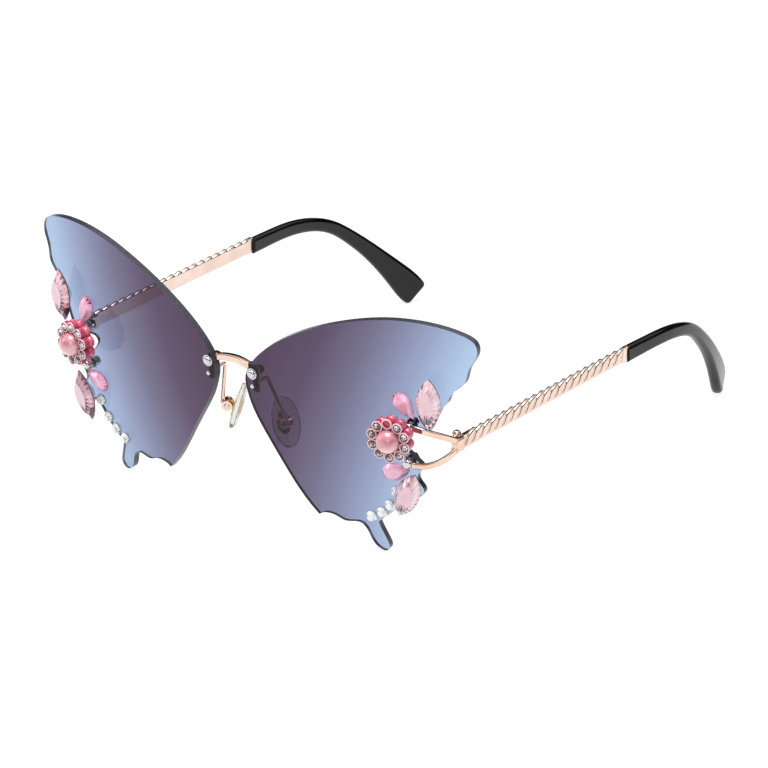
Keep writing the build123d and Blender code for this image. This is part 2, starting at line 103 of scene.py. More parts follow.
def addBump(tree, shader, height, depthMm, strength):
    bump = addNode(tree, "ShaderNodeBump", {"Strength": strength, "Distance": depthMm * mm},
                   {"Height": height})
    tree.links.new(bump.outputs[0], shader.inputs["Normal"])


# noise stays mostly between 0.3 and 0.7, and that range becomes the roughness from low to high
def spreadRoughness(tree, shader, noise, low, high):
    spread = addNode(tree, "ShaderNodeMapRange",
                     {"From Min": 0.3, "From Max": 0.7, "To Min": low, "To Max": high},
                     {"Value": noise.outputs["Fac"]})
    tree.links.new(spread.outputs[0], shader.inputs["Roughness"])


def blendColours(tree, shader, value, stops):
    ramp = addNode(tree, "ShaderNodeValToRGB", links={"Fac": value})
    fillRamp(ramp, stops)
    tree.links.new(ramp.outputs[0], shader.inputs["Base Color"])


# rose gold plating on brass, barrel polished: soft warm tone drift, fine polishing waves
def makeRoseGold(name, stops, low, high):
    material, tree, shader = newMaterial(name, Metallic=1.0)
    tone = grainNoise(tree, 6.0, 1.0)
    blendColours(tree, shader, tone.outputs["Fac"], stops)
    polish = grainNoise(tree, 0.7)
    spreadRoughness(tree, shader, polish, low, high)
    addBump(tree, shader, polish.outputs["Fac"], 0.01, 0.35)
    return material


roseGold = makeRoseGold("roseGoldPlatedBrassPolished", [(0.3, "#E3C0AB"), (0.7, "#EED2C2")], 0.07, 0.15)
# the temple's pressed rope is a paler rose gold all over
ropeGold = makeRoseGold("roseGoldPlatedBrassPressed", [(0.3, "#E2C8BA"), (0.7, "#EDD8CC")], 0.12, 0.22)

# stainless steel screws, turned and polished: near mirror, with faint uneven turning marks
brightSteel, tree, shader = newMaterial("stainlessSteelTurnedPolished", "#CFCFD2", Metallic=1.0)
turning = grainNoise(tree, 0.25, 2.0)
spreadRoughness(tree, shader, turning, 0.05, 0.12)

# stamped brass insert of the pad: yellow, duller than the plated parts
padBrass, tree, shader = newMaterial("brassStamped", "#C9A052", Metallic=1.0)
stamping = grainNoise(tree, 0.5)
spreadRoughness(tree, shader, stamping, 0.2, 0.35)

# clear silicone, moulded: soft edged and smooth, slight milkiness in the thick part
clearSilicone, tree, shader = newMaterial("siliconeClearMoulded", "#EFECE6", Transmission_Weight=0.85,
                                          IOR=1.38)
haze = grainNoise(tree, 4.0, 1.0)
spreadRoughness(tree, shader, haze, 0.12, 0.2)

# nylon bushes in the lens holes, moulded: half clear with a cloudy skin
clearNylon, tree, shader = newMaterial("nylonClearMoulded", "#DDDDE0", Transmission_Weight=0.6, IOR=1.53)
nylonHaze = grainNoise(tree, 0.4, 2.0)
spreadRoughness(tree, shader, nylonHaze, 0.2, 0.35)

# cellulose acetate sleeve, tumbled to a high gloss: near black, faint waviness in the reflections
blackAcetate, tree, shader = newMaterial("celluloseAcetateTumbled", "#050506", IOR=1.46,
                                         Specular_IOR_Level=0.4)
wave = grainNoise(tree, 5.0, 1.0)
blendColours(tree, shader, wave.outputs["Fac"], [(0.3, "#030304"), (0.7, "#080809")])
spreadRoughness(tree, shader, wave, 0.08, 0.14)
addBump(tree, shader, wave.outputs["Fac"], 0.02, 0.2)

# resin petals, cast: saturated rose, glossy
petalResin, tree, shader = newMaterial("polyesterResinCast", "#CD5A73", IOR=1.54, Coat_Weight=0.4,
                                       Subsurface_Weight=0.1, Subsurface_Scale=0.001)
shader.inputs["Subsurface Radius"].default_value = (1.0, 0.35, 0.3)
petalTone = grainNoise(tree, 2.5, 1.0)
blendColours(tree, shader, petalTone.outputs["Fac"], [(0.3, "#BE4A66"), (0.7, "#D66A80")])
spreadRoughness(tree, shader, petalTone, 0.15, 0.25)

# the ring's resin: rose like the petals deep inside the cups as painted shade, paling to a whitish pink
# towards their rims
ringResin, tree, shader = newMaterial("polyesterResinCastPaleRim", "#E59BA8", IOR=1.54, Coat_Weight=0.4,
                                      Subsurface_Weight=0.08, Subsurface_Scale=0.0006)
shader.inputs["Subsurface Radius"].default_value = (1.0, 0.4, 0.35)
ringTone = grainNoise(tree, 1.8, 1.0)
paintedCupShade = addNode(tree, "ShaderNodeAttribute", attribute_name="paintedCupShade")
ringMix = addNode(tree, "ShaderNodeMath", {1: 0.12},
                  {0: ringTone.outputs["Fac"], 2: paintedCupShade.outputs["Fac"]}, operation="MULTIPLY_ADD")
blendColours(tree, shader, ringMix.outputs[0],
             [(0.05, "#B2435C"), (0.3, "#CE6378"), (0.6, "#E393A1"), (1.0, "#FBD9DE")])
spreadRoughness(tree, shader, ringTone, 0.15, 0.25)

# half pearl, sprayed: nacre lacquer over an acrylic core, paler where it faces down as painted light, a
# clear top coat
pinkPearl, tree, shader = newMaterial("pearlLacquerOnAcrylic", "#D98C90", IOR=1.5, Metallic=0.2,
                                      Roughness=0.3, Coat_Weight=0.9, Coat_Roughness=0.18)
nacre = grainNoise(tree, 3.0, 1.0)
# painted light: the colour pales where the surface faces down, as if lit from below
surface = addNode(tree, "ShaderNodeNewGeometry")
lean = addNode(tree, "ShaderNodeSeparateXYZ", links={"Vector": surface.outputs["Normal"]})
paintedUnderLight = addNode(tree, "ShaderNodeMath", {1: -0.5}, {0: lean.outputs["Z"], 2: nacre.outputs["Fac"]},
               operation="MULTIPLY_ADD")
blendColours(tree, shader, paintedUnderLight.outputs[0],
             [(0.2, "#CC828D"), (0.5, "#DA9CA5"), (0.78, "#EAB9BD"), (1.0, "#F3D1D2")])
print("materials: metals, plastics and resins made")


# the tint in mm from the lens's middle; lowerPull brings the blue further in towards the lower edge
tint = {"plumToBlue": [(0.0, "#4B3650"), (0.25, "#554460"), (0.47, "#6A6681"), (0.6, "#7A7D9C"),
                       (0.75, "#8E99B9"), (1.0, "#ABC4E2")],
        "startMm": -34.0, "endMm": 24.0, "lowerPull": -0.40}


# tinted polycarbonate, injection moulded and hard coated: plum at the nose, light blue at the tips
def makeTintedLens():
    material, tree, shader = newMaterial("polycarbonateTintedHardCoated", Transmission_Weight=1.0,
                                         IOR=1.34, Roughness=0.0)
    split = addNode(tree, "ShaderNodeSeparateXYZ", links={"Vector": objectPlace(tree)})
    outward = addNode(tree, "ShaderNodeMath", links={0: split.outputs["X"]}, operation="ABSOLUTE")
    across = addNode(tree, "ShaderNodeMath", {1: -lensPlace["outward"] * mm}, {0: outward.outputs[0]},
                     operation="ADD")
    raised = addNode(tree, "ShaderNodeMath", {1: -lensPlace["upward"] * mm}, {0: split.outputs["Z"]},
                     operation="ADD")
    mixed = addNode(tree, "ShaderNodeMath", {1: tint["lowerPull"]},
                    {0: raised.outputs[0], 2: across.outputs[0]}, operation="MULTIPLY_ADD")
    share = addNode(tree, "ShaderNodeMapRange",
                    {"From Min": tint["startMm"] * mm, "From Max": tint["endMm"] * mm},
                    {"Value": mixed.outputs[0]})
    blendColours(tree, shader, share.outputs[0], tint["plumToBlue"])
    return material


tintedLens = makeTintedLens()

# the sheet's cut rim, polished: a dark slate grey painted on as the shade its edge shows, with fine cutter
# marks
lensRim, tree, shader = newMaterial("polycarbonateRimPolished", "#373740", IOR=1.45,
                                    Transmission_Weight=0.15)
rimMarks = grainNoise(tree, 0.6, 2.0)
blendColours(tree, shader, rimMarks.outputs["Fac"], [(0.3, "#303038"), (0.7, "#3E3E48")])
spreadRoughness(tree, shader, rimMarks, 0.12, 0.3)


# glass, cut and polished over a foil: each facet's colour holds a painted shade and painted glint standing
# in for the light thrown back through it, with flecks that move it up or down by at most half of fleckSpan
def makeCrystal(name, foil, stops):
    material, tree, shader = newMaterial(name, IOR=1.55, Metallic=foil, Roughness=0.06, Coat_Weight=1.0,
                                         Coat_Roughness=0.02)
    fleckSpan = 0.3
    shade = addNode(tree, "ShaderNodeAttribute", attribute_name="facetPaintedLight")
    flecks = grainNoise(tree, 0.8, 1.0)
    mixed = addNode(tree, "ShaderNodeMath", {1: fleckSpan},
                    {0: flecks.outputs["Fac"], 2: shade.outputs["Fac"]}, operation="MULTIPLY_ADD")
    centred = addNode(tree, "ShaderNodeMath", {1: -fleckSpan / 2}, {0: mixed.outputs[0]}, operation="ADD")
    blendColours(tree, shader, centred.outputs[0], stops)
    return material


paleCrystal = makeCrystal("glassCutFoiledPale", 0.15,
                          [(0.0, "#3E3040"), (0.16, "#6B4453"), (0.3, "#C98D9D"), (0.45, "#E7BFCA"),
                           (0.7, "#F0D2D9"), (1.0, "#FFF4F6")])
roseCrystal = makeCrystal("glassCutFoiledRose", 0.1,
                          [(0.0, "#8E2F4C"), (0.2, "#C8557F"), (0.38, "#F0A2C4"), (0.7, "#F6BAD7"),
                           (1.0, "#FDDCEB")])
whiteCrystal = makeCrystal("glassCutFoiledWhite", 0.1,
                           [(0.0, "#5F6266"), (0.2, "#B7BABE"), (0.4, "#F3F4F5"), (1.0, "#FFFFFF")])
# the cups' stones: the near black and greys of their facets are painted shade and painted reflection
cupCrystalPaintedShade = makeCrystal("glassCutFoiledPaintedShade", 0.25,
                           [(0.0, "#1E191C"), (0.3, "#5F5658"), (0.55, "#A59A9A"), (0.8, "#E9E4E3"),
                            (1.0, "#FFFFFF")])
print("materials: lens and crystal made")


# placing on the lens
hingeLow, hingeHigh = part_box("hinge_screw_left")
hingeBack, hingeLevel = (hingeLow.y + hingeHigh.y) / 2, (hingeLow.z + hingeHigh.z) / 2
lensOrigin = Vector((lensPlace["outward"] * mm, hingeBack - lensPlace["hingeBehind"] * mm,
                     lensPlace["upward"] * mm))
wrap, tilt = math.radians(lensPlace["wrap"]), math.radians(lensPlace["tilt"])
lensAcross = Vector((math.cos(wrap), math.sin(wrap), 0))
lensOut = Vector((math.sin(wrap) * math.cos(tilt), -math.cos(wrap) * math.cos(tilt), -math.sin(tilt)))


# a place with its z along outward and its x as near to across as that allows
def frameFrom(origin, across, outward):
    across = (across - outward * across.dot(outward)).normalized()
    up = outward.cross(across)
    turned = Matrix((across, up, outward)).transposed().to_4x4()
    return Matrix.Translation(origin) @ turned


lensFrame = frameFrom(lensOrigin, lensAcross, lensOut)


# z stands square on the dome at that share of the lens, x turned by so many degrees
def onLens(share, lift=0.0, turn=0.0):
    across, up = share[0] * lensPlace["width"], share[1] * lensPlace["height"]
    radius = lensPlace["radius"]
    square = Vector((across, up, math.sqrt(radius ** 2 - across ** 2 - up ** 2))).normalized()
    along = Vector((math.cos(math.radians(turn)), math.sin(math.radians(turn)), 0))
    spot = (square * (radius + lift) - Vector((0, 0, radius))) * mm
    return lensFrame @ frameFrom(spot, along, square)


flipX = Matrix.Scale(-1, 4, (1, 0, 0))


# mirrors a mesh to the other side and turns its faces back out
def mirrorMesh(mesh):
    mesh.transform(flipX)
    mesh.flip_normals()


# a finished piece, modelled on the +X side and mirrored when it belongs to the other one
def finishPiece(name, mesh, materials, body, nodeNames, mirrored=False):
    if mirrored:
        mirrorMesh(mesh)
    piece = bpy.data.objects.new(name, mesh)
    bpy.context.scene.collection.objects.link(piece)
    if mesh.materials:      # clearing also sets every face back to the first slot
        mesh.materials.clear()
    for material in materials:
        mesh.materials.append(material)
    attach(piece, body)
    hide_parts(*nodeNames)


def meshFrom(bm, name):
    mesh = bpy.data.meshes.new(name)
    bm.to_mesh(mesh)
    bm.free()
    return mesh


def tempObject(mesh, name="helper"):
    helper = bpy.data.objects.new(name, mesh)
    bpy.context.scene.collection.objects.link(helper)
    return helper


# evaluates the modifiers of a helper, returns a plain mesh and removes the helpers
def plainMesh(helper, *others):
    bpy.context.view_layer.update()
    graph = bpy.context.evaluated_depsgraph_get()
    mesh = bpy.data.meshes.new_from_object(helper.evaluated_get(graph))
    for thing in (helper, *others):
        bpy.data.objects.remove(thing)
    return mesh


sides = (("left", False), ("right", True))


# lenses: a merged copy of the sheet with a polished bevel round its rim
# a lean is how far a face looks along the lens, 1 on the sheet and 0 on its wall
rimBevel = {"widthMm": 0.14, "segments": 2, "sharpDegrees": 50, "smoothDegrees": 18,
            "mergeMm": 0.002, "wallLean": 0.5, "rimLean": 0.9}


def makeLens(side):
    bm = bmesh.new()
    bm.from_mesh(nodes["lens_" + side].data)
    bmesh.ops.remove_doubles(bm, verts=bm.verts, dist=rimBevel["mergeMm"] * mm)
    out = lensOut if side == "left" else flipX @ lensOut
    wall = {f for f in bm.faces if abs(f.normal.dot(out)) < rimBevel["wallLean"]}
    sharp = [e for e in bm.edges if len(e.link_faces) == 2
             and e.calc_face_angle(0) > math.radians(rimBevel["sharpDegrees"])
             and len(wall.intersection(e.link_faces)) == 1]
    bmesh.ops.bevel(bm, geom=sharp, offset=rimBevel["widthMm"] * mm, segments=rimBevel["segments"],
                    profile=0.5, affect="EDGES", clamp_overlap=True, material=-1)
    for face in bm.faces:
        face.material_index = 1 if abs(face.normal.dot(out)) < rimBevel["rimLean"] else 0
        face.smooth = True
    for edge in bm.edges:
        edge.smooth = edge.calc_face_angle(0) < math.radians(rimBevel["smoothDegrees"])
    mesh = meshFrom(bm, "lensSheet_" + side)
    finishPiece("lensSheet_" + side, mesh, [tintedLens, lensRim], "front",
                ["lens_" + side])


for side in ("left", "right"):
    makeLens(side)
print("lenses made")


# cut stones: rings of points from the flat back over the girdle to the table
def marquiseOutline(length, width, count):
    arc = (length ** 2 + width ** 2) / (4 * width)      # both sides are arcs of this radius
    reach = math.asin(length / (2 * arc))
    half = count // 2
    turns = [reach * (2 * n / half - 1) for n in range(half)]
    upper = [(arc * math.sin(t), arc * math.cos(t) - arc + width / 2) for t in turns]
    return upper + [(-x, -y) for x, y in upper]


def dropOutline(length, width, count):
    pinch = 0.8                                         # more of it draws the pointed end out longer
    turns = [2 * math.pi * n / count for n in range(count)]
    raw = [math.sin(t) * abs(math.sin(t / 2)) ** pinch for t in turns]
    return [(length / 2 * math.cos(t), width / 2 * r / max(raw)) for t, r in zip(turns, raw)]


def roundOutline(radius, count):
    return [(radius * math.cos(2 * math.pi * n / count), radius * math.sin(2 * math.pi * n / count))
            for n in range(count)]


# painted glints of the facets: by turns, with an uneven part; a facet's rise says girdle, crown or table
facetFlash = {"byTurns": 0.55, "uneven": 0.45, "unevenStep": 12.9898, "girdleShare": 0.5,
              "girdleRise": 0.3, "tableRise": 0.98}


# a painted shade and glint for a facet, fixed in its colour: lighter as it faces the painted light, darker
# towards one end and on the girdle
def facetPaintedLight(face, style, number, halfLength):
    along = face.calc_center_median().x / halfLength
    towardsEnd = max(0.0, along * style["darkSide"] - style["darkFrom"])
    spark = style["spark"] + style["endSpark"] * towardsEnd
    uneven = math.sin(number * facetFlash["unevenStep"])
    flash = (1 if number % 2 else -1) * facetFlash["byTurns"] + uneven * facetFlash["uneven"]
    lit = style["slope"] * face.normal.dot(Vector(style["light"]).normalized())
    if face.normal.z < facetFlash["girdleRise"]:
        return style["girdle"] * (1 + facetFlash["girdleShare"] * flash)
    if face.normal.z < facetFlash["tableRise"]:
        spark += style["crownSpark"]
    shade = style["middle"] + lit - style["darkEnd"] * towardsEnd + spark * flash
    return min(1.0, max(0.0, shade))


def cutStone(outline, height, style):
    bm = bmesh.new()
    count = len(outline)
    halfLength = max(abs(x) for x, y in outline) * mm
    rings = []
    for scale, level, halfStep in style["rings"]:
        ring = []
        for n in range(count):
            x, y = outline[n]
            if halfStep:
                nextX, nextY = outline[(n + 1) % count]
                x, y = (x + nextX) / 2, (y + nextY) / 2
            ring.append(bm.verts.new((x * scale * mm, y * scale * mm, level * height * mm)))
        rings.append((ring, halfStep))
    for (low, lowHalf), (high, highHalf) in zip(rings, rings[1:]):
        for n in range(count):
            after = (n + 1) % count
            if lowHalf == highHalf:
                bm.faces.new((low[n], low[after], high[after], high[n]))
            elif highHalf:
                bm.faces.new((low[n], low[after], high[n]))
                bm.faces.new((low[after], high[after], high[n]))
            else:
                bm.faces.new((low[n], high[after], high[n]))
                bm.faces.new((low[n], low[after], high[after]))
    bm.faces.new(rings[-1][0])
    bm.faces.new(list(reversed(rings[0][0])))
    bmesh.ops.recalc_face_normals(bm, faces=bm.faces)
    bm.normal_update()
    layer = bm.faces.layers.float.new("facetPaintedLight")
    for number, face in enumerate(bm.faces):
        face[layer] = facetPaintedLight(face, style, number, halfLength)
    return meshFrom(bm, "cutStone")


# a cut's rings: its size beside the girdle's, its height, and whether it is turned by half a facet
marquiseCut = [(0.25, 0.0, False), (1.0, 0.52, False), (1.0, 0.60, False), (0.82, 0.80, True),
               (0.60, 1.0, False), (0.30, 1.0, True)]
dropCut = [(0.92, 0.0, False), (1.0, 0.18, False), (1.0, 0.32, False), (0.80, 0.72, True),
           (0.58, 1.0, False), (0.28, 1.0, True)]
roundCut = [(0.92, 0.0, False), (1.0, 0.18, False), (1.0, 0.32, False), (0.78, 0.74, True),
            (0.58, 1.0, False), (0.25, 1.0, True)]
# painted shade and glints: light is the way the painted light comes from; the point of a marquise that
# hangs down is painted dark and spiky, the blunt end of a drop is painted dark
stoneStyles = {
    "pale": {"rings": marquiseCut, "light": (0.4, -0.5, 0.7), "slope": 0.22, "middle": 0.40,
             "spark": 0.06, "crownSpark": 0.18, "girdle": 0.1,
             "darkSide": -1, "darkFrom": 0.3, "darkEnd": 1.7, "endSpark": 1.5},
    "rose": {"rings": dropCut, "light": (-0.3, 0.3, 0.8), "slope": 0.25, "middle": 0.50,
             "spark": 0.05, "crownSpark": 0.08, "girdle": 0.25,
             "darkSide": -1, "darkFrom": 0.50, "darkEnd": 1.3, "endSpark": 0.3},
    "clear": {"rings": roundCut, "light": (0.3, 0.5, 0.6), "slope": 0.6, "middle": 0.26,
              "spark": 0.12, "crownSpark": 0.4, "girdle": 0.1,
              "darkSide": 1, "darkFrom": 1.0, "darkEnd": 0.0, "endSpark": 0.0},
    "cup": {"rings": roundCut, "light": (-0.3, 0.4, 0.6), "slope": 0.35, "middle": 0.24,
            "spark": 0.5, "crownSpark": 0.15, "girdle": 0.02,
            "darkSide": 1, "darkFrom": 1.0, "darkEnd": 0.0, "endSpark": 0.0},
}
marquiseStone = {"sizes": (14.6, 7.0, 4.6), "shape": marquiseOutline, "facets": 20, "style": "pale",
                 "material": paleCrystal, "slot": "pink_glass"}
dropStone = {"sizes": (8.4, 5.2, 1.7), "shape": dropOutline, "facets": 18, "style": "rose",
             "material": roseCrystal, "slot": "rose_glass"}
bigStones = {
    "marquise_upper": {"share": (0.333, 0.185), "turn": {"left": 89.0, "right": 80.0}, **marquiseStone},
    "marquise_lower": {"share": (0.232, -0.210), "turn": {"left": 67.0, "right": 76.0}, **marquiseStone},
    "drop_upper": {"share": (0.222, 0.148), "turn": {"left": -50.0, "right": -75.0}, **dropStone},
    "drop_lower": {"share": (0.178, -0.136), "turn": {"left": 15.0, "right": 22.0}, **dropStone},
}
glueGapMm = 0.05
for side, mirrored in sides:
    for name, stone in bigStones.items():
        length, width, height = stone["sizes"]
        outline = stone["shape"](length, width, stone["facets"])
        mesh = cutStone(outline, height, stoneStyles[stone["style"]])
        mesh.transform(onLens(stone["share"], glueGapMm, stone["turn"][side]))
        finishPiece(name + "Cut_" + side, mesh, [stone["material"]], "front",
                    [name + "_" + side], mirrored)
print("marquise and drop stones cut")


# Geometry Nodes helpers
def newTree(name, inputs):
    tree = bpy.data.node_groups.new(name, "GeometryNodeTree")
    tree.interface.new_socket("Geometry", in_out="INPUT", socket_type="NodeSocketGeometry")
    for label, kind in inputs:
        tree.interface.new_socket(label, in_out="INPUT", socket_type="NodeSocket" + kind)
    tree.interface.new_socket("Geometry", in_out="OUTPUT", socket_type="NodeSocketGeometry")
    entry = tree.nodes.new("NodeGroupInput")
    return tree, entry


def closeTree(tree, entry, geometry):
    realized = addNode(tree, "GeometryNodeRealizeInstances", links={0: geometry})
    painted = addNode(tree, "GeometryNodeSetMaterial", links={"Geometry": realized.outputs[0],
                                                              "Material": entry.outputs["Finish"]})
    addNode(tree, "NodeGroupOutput", links={0: painted.outputs[0]})


def runTree(tree, values, *others):
    helper = tempObject(bpy.data.meshes.new("seed"), "generator")
    modifier = helper.modifiers.new("nodes", "NODES")
    modifier.node_group = tree
    for item in tree.interface.items_tree:
        if item.in_out == "INPUT" and item.name in values:
            modifier[item.identifier] = values[item.name]
    return plainMesh(helper, *others)


# copies of a piece on a circle, each turned with its place
def makeCircleTree():
    tree, entry = newTree("piecesOnCircle", [("Piece", "Object"), ("Count", "Int"), ("Radius", "Float"),
                                             ("Start", "Float"), ("Skipped", "Int"),
                                             ("Finish", "Material")])
    circle = addNode(tree, "GeometryNodeMeshCircle", links={"Vertices": entry.outputs["Count"],
                                                            "Radius": entry.outputs["Radius"]})
    turned = addNode(tree, "ShaderNodeCombineXYZ", links={"Z": entry.outputs["Start"]})
    placed = addNode(tree, "GeometryNodeTransform",
                     links={"Geometry": circle.outputs[0], "Rotation": turned.outputs[0]})
    index = addNode(tree, "GeometryNodeInputIndex")
    # 2 and 3 are the node's whole-number sockets; a place of -1 leaves none out
    skip = addNode(tree, "FunctionNodeCompare", links={2: index.outputs[0], 3: entry.outputs["Skipped"]},
                   data_type="INT", operation="NOT_EQUAL")
    step = addNode(tree, "ShaderNodeMath", {0: 2 * math.pi}, {1: entry.outputs["Count"]},
                   operation="DIVIDE")
    spin = addNode(tree, "ShaderNodeMath", links={0: index.outputs[0], 1: step.outputs[0]},
                   operation="MULTIPLY")
    spinTurn = addNode(tree, "ShaderNodeCombineXYZ", links={"Z": spin.outputs[0]})
    piece = addNode(tree, "GeometryNodeObjectInfo", links={"Object": entry.outputs["Piece"]})
    copies = addNode(tree, "GeometryNodeInstanceOnPoints",
                     links={"Points": placed.outputs[0], "Selection": skip.outputs[0],
                            "Instance": piece.outputs["Geometry"], "Rotation": spinTurn.outputs[0]})
    closeTree(tree, entry, copies.outputs[0])
    return tree


circleTree = makeCircleTree()


# a skin over rings of points, each with as many as the next, closed at both ends
def skinRings(bm, rings):
    for low, high in zip(rings, rings[1:]):
        for n in range(len(low)):
            after = (n + 1) % len(low)
            bm.faces.new((low[n], low[after], high[after], high[n]))
    bm.faces.new(rings[-1])
    bm.faces.new(list(reversed(rings[0])))
    bmesh.ops.recalc_face_normals(bm, faces=bm.faces)


# a turned shape from its profile, radius and height in mm
def turnedShape(profile, count, sharpDegrees=40):
    bm = bmesh.new()
    rings = []
    for radius, height in profile:
        rings.append([bm.verts.new((radius * math.cos(2 * math.pi * n / count) * mm,
                                    radius * math.sin(2 * math.pi * n / count) * mm, height * mm))
                      for n in range(count)])
    skinRings(bm, rings)
    for face in bm.faces:
        face.smooth = True
    for edge in bm.edges:
        edge.smooth = edge.calc_face_angle(0) < math.radians(sharpDegrees)
    return bm


def joinMeshes(meshes, name):
    bm = bmesh.new()
    for mesh in meshes:
        bm.from_mesh(mesh)
    return meshFrom(bm, name)


# flower ring: ten rimmed cups round the pearl, and the small stones in them; levels are above the lens
# the cup's profile runs from its foot over the rim into the cup: mm in from its radius, mm up from a level
flower = {
    "share": (0.197, 0.045), "count": 10, "circleMm": 4.88, "startDegrees": 21.0,
    "baseMm": 5.75, "bandTopMm": 6.55, "bandSoftMm": 0.1, "bandSides": 64,
    "cupRadiusMm": 1.53, "cupFloorMm": 6.75, "cupTopMm": 7.45, "cupSides": 28,
    "cupProfile": [(0.153, "baseMm", 0.0), (0.04, "baseMm", 0.14), (0.04, "cupTopMm", -0.35),
                   (0.0, "cupTopMm", -0.2), (0.07, "cupTopMm", -0.04), (0.17, "cupTopMm", 0.0),
                   (0.34, "cupTopMm", -0.06), (0.38, "cupFloorMm", 0.3), (0.40, "cupFloorMm", 0.0)],
    "stoneRadiusMm": 1.05, "stoneHeightMm": 1.1, "stoneLowMm": 6.8, "stoneFacets": 8,
    "emptyCup": {"left": 2, "right": -1},
}


# the flower's cups or stones, with the place to leave out
def onCircle(piece, skipped, finish):
    helper = tempObject(piece, "template")
    return runTree(circleTree, {"Piece": helper, "Count": flower["count"],
                                "Radius": flower["circleMm"] * mm,
                                "Start": math.radians(flower["startDegrees"]),
                                "Skipped": skipped, "Finish": finish}, helper)


# the cups' painted shade: 0 deep in a cup, where it is darkest, and 1 on its rim, where there is none
def shadeCupFaces(bm):
    floor, top = flower["cupFloorMm"], flower["cupTopMm"]
    layer = bm.faces.layers.float.new("paintedCupShade")
    for face in bm.faces:
        level = (face.calc_center_median().z / mm - floor) / (top - floor)
        face[layer] = min(1.0, max(0.0, level)) ** 2


def makeRing(side, mirrored):
    profile = [(flower["cupRadiusMm"] - inward, flower[level] + up)
               for inward, level, up in flower["cupProfile"]]
    cup = turnedShape(profile, flower["cupSides"])
    shadeCupFaces(cup)
    cups = onCircle(meshFrom(cup, "cup"), -1, ringResin)
    # the round band that the cups stand in, with softened edges
    reach, low, high, soft = [flower[k] for k in ("circleMm", "baseMm", "bandTopMm", "bandSoftMm")]
    band = turnedShape([(reach - soft, low), (reach, low + soft), (reach, high - soft),
                        (reach - soft, high)], flower["bandSides"])
    shadeCupFaces(band)
    mesh = joinMeshes([cups, meshFrom(band, "band")], "flowerRing_" + side)
    mesh.transform(onLens(flower["share"]))
    finishPiece("flowerRingCups_" + side, mesh, [ringResin], "front",
                ["flower_ring_" + side], mirrored)


def makeRingStones(side, mirrored):
    stone = cutStone(roundOutline(flower["stoneRadiusMm"], flower["stoneFacets"]),
                     flower["stoneHeightMm"], stoneStyles["cup"])
    stone.transform(Matrix.Translation((0, 0, flower["stoneLowMm"] * mm)))
    mesh = onCircle(stone, flower["emptyCup"][side], cupCrystalPaintedShade)
    mesh.transform(onLens(flower["share"]))
    finishPiece("flowerStonesCut_" + side, mesh, [cupCrystalPaintedShade], "front",
                ["flower_stones_" + side], mirrored)


# the posts under the petals, slim and set towards the flower's middle, each on a low foot
post = {"share": (0.180, 0.100), "radiusMm": 0.5, "lowMm": 0.02, "highMm": 3.86, "towardsMm": 0.75,
        "footMm": 0.3, "footWiderMm": 0.2, "slopeMm": 0.15, "sides": 24}


# the piece of one side and its mirror image in one mesh
def withMirror(mesh, name, *more):
    other = mesh.copy()
    mirrorMesh(other)
    return joinMeshes([mesh, other, *more], name)


def makePosts():
    r, low, high = post["radiusMm"], post["lowMm"], post["highMm"]
    wide, foot = r + post["footWiderMm"], low + post["footMm"]
    one = meshFrom(turnedShape([(wide, low), (wide, foot), (r, foot + post["slopeMm"]), (r, high)],
                               post["sides"]), "post")
    one.transform(Matrix.Translation((0, -post["towardsMm"] * mm, 0)))
    one.transform(onLens(post["share"]))
    finishPiece("flowerPostsSlim", withMirror(one, "flowerPostsSlim"), [brightSteel], "front",
                ["flower_posts"])


makePosts()
for side, mirrored in sides:
    makeRing(side, mirrored)
    makeRingStones(side, mirrored)
print("flower rings and their stones made")

# clear stones in a row on the lower rim, all standing as the one at number standLike does
clearStones = {"radiusMm": 1.65, "heightMm": 1.5, "facets": 12, "standLike": 1,
               "shares": [(0.056, -0.358), (0.103, -0.330), (0.141, -0.290), (0.173, -0.224)]}


# copies of a piece on the points of another object
def makePlaceTree():
    tree, entry = newTree("piecesOnPlaces", [("Piece", "Object"), ("Places", "Object"),
                                             ("Finish", "Material")])
    piece = addNode(tree, "GeometryNodeObjectInfo", links={"Object": entry.outputs["Piece"]})
    places = addNode(tree, "GeometryNodeObjectInfo", links={"Object": entry.outputs["Places"]})
    copies = addNode(tree, "GeometryNodeInstanceOnPoints",
                     links={"Points": places.outputs["Geometry"], "Instance": piece.outputs["Geometry"]})
    closeTree(tree, entry, copies.outputs[0])
    return tree


placeTree = makePlaceTree()


def makeClearStones(side, mirrored):
    bm = bmesh.new()
    for share in clearStones["shares"]:
        bm.verts.new(onLens(share, glueGapMm).translation)
    spots = tempObject(meshFrom(bm, "spots"), "spots")
    outline = roundOutline(clearStones["radiusMm"], clearStones["facets"])
    stone = tempObject(cutStone(outline, clearStones["heightMm"], stoneStyles["clear"]), "template")
    stand = onLens(clearStones["shares"][clearStones["standLike"]])
    stone.data.transform(stand.to_3x3().to_4x4())
    mesh = runTree(placeTree, {"Piece": stone, "Places": spots, "Finish": whiteCrystal}, stone, spots)
    finishPiece("clearStonesCut_" + side, mesh, [whiteCrystal], "front",
                ["clear_stones_" + side], mirrored)


for side, mirrored in sides:
    makeClearStones(side, mirrored)
print("clear stones made")

